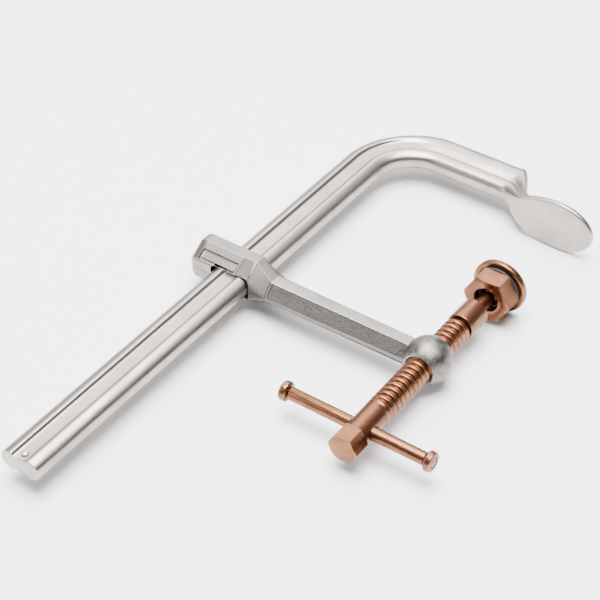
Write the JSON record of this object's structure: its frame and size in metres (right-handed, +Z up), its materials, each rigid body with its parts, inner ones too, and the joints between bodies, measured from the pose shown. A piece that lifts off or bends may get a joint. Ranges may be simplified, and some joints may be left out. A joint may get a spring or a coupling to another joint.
{
  "type": "f clamp",
  "caption": "All-steel F clamp: a grooved rail bent into a fixed oval jaw, and a forged sliding arm whose screw presses a swivel pad on the work.",
  "frame": {"origin": "middle of the fixed jaw's clamping face, on the screw's axis", "axes": "+Y along the rail from its free end towards the fixed jaw, +X from the rail towards the screw, +Z up as the clamp lies on its side"},
  "size_m": [0.2456, 0.446, 0.041],
  "materials": {
    "plated_steel": "satin bright plating",
    "forged_steel": "grainy as-forged skin with polished edges",
    "pin_steel": "plain",
    "coppered_steel": "copper plated",
    "coppered_sleeve": "copper plated, turned",
    "dark_spring_steel": "blackened",
    "coppered_stud": "copper plated, turned",
    "black_plastic": "moulded",
    "coppered_pad": "copper plated",
    "black_rubber": "matt",
    "coppered_pad_face": "copper plated",
    "coppered_bar": "copper plated",
    "coppered_cap": "copper plated"
  },
  "bodies": {
    "rail": {"rail_with_fixed_jaw": "plated_steel", "stop_pin": "pin_steel"},
    "sliding_arm": {"sliding_arm": "forged_steel"},
    "ball_stud": {"ball_stud": "coppered_stud"},
    "spindle": {"spindle": "coppered_steel", "spindle_sleeve": "coppered_sleeve", "roll_pin": "dark_spring_steel"},
    "tommy_bar": {"tommy_bar": "coppered_bar", "tommy_bar_cap_left": "coppered_cap", "tommy_bar_cap_right": "coppered_cap"},
    "socket_liner": {"socket_liner": "black_plastic"},
    "swivel_pad": {"pad_body": "coppered_pad", "pad_ring": "black_rubber", "pad_face": "coppered_pad_face"}
  },
  "joints": [
    {"name": "arm_slide", "type": "slide", "parent": "rail", "child": "sliding_arm", "axis": [0, 1, 0], "range_m": [-0.2112, 0.0274]},
    {"name": "spindle_advance", "type": "slide", "parent": "sliding_arm", "child": "ball_stud", "axis": [0, 1, 0], "range_m": [-0.0253, 0.0453]},
    {"name": "spindle_turn", "type": "hinge", "parent": "ball_stud", "child": "spindle", "pos_m": [0, -0.1751, 0], "axis": [0, 1, 0], "range_deg": [-1800, 3240]},
    {"name": "tommy_bar_slide", "type": "slide", "parent": "spindle", "child": "tommy_bar", "axis": [1, 0, 0], "range_m": [-0.0378, 0.046]},
    {"name": "pad_tilt_up", "type": "hinge", "parent": "ball_stud", "child": "socket_liner", "pos_m": [0, -0.091, 0], "axis": [1, 0, 0], "range_deg": [-12, 12]},
    {"name": "pad_tilt_across", "type": "hinge", "parent": "socket_liner", "child": "swivel_pad", "pos_m": [0, -0.091, 0], "axis": [0, 0, 1], "range_deg": [-12, 12]}
  ],
  "couplings": [
    {"joint": "spindle_advance", "follows": "spindle_turn", "m_per_rad": 0.00079577}
  ]
}
